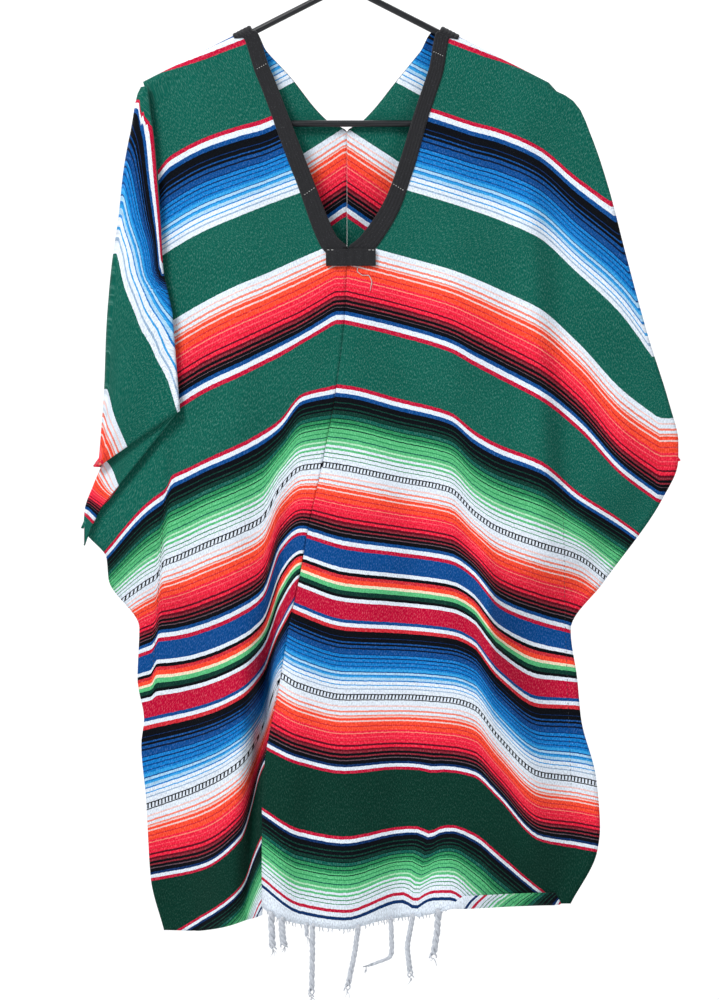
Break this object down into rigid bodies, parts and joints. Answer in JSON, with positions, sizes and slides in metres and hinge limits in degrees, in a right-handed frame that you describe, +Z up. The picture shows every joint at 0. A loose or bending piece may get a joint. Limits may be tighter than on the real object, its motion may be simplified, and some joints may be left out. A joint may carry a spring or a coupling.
{
  "type": "serape poncho on a tubular hanger",
  "caption": "Striped woven serape poncho with a V neck, tape edging and a sparse fringe, hanging open and hollow on a plain tubular hanger.",
  "frame": {"origin": "the inner top of the hanger's hook, where a rail carries it", "axes": "+Z up, +X to the viewer's right across the front, and the front faces -Y"},
  "size_m": [0.6315, 0.1104, 1.1673],
  "materials": {
    "cloth": "plain weave in cross stripes",
    "tape": "ribbed tape",
    "yarn": "loose twisted yarn",
    "plastic": "smooth moulded tube"
  },
  "bodies": {
    "root": {"front_left": "cloth", "front_right": "cloth", "back_left": "cloth", "back_right": "cloth", "neck_tape_left": "tape", "neck_tape_right": "tape", "neck_tape_block": "tape", "fringe_front": "yarn", "fringe_back": "yarn", "hanger_frame": "plastic", "hanger_hook": "plastic"}
  },
  "joints": []
}
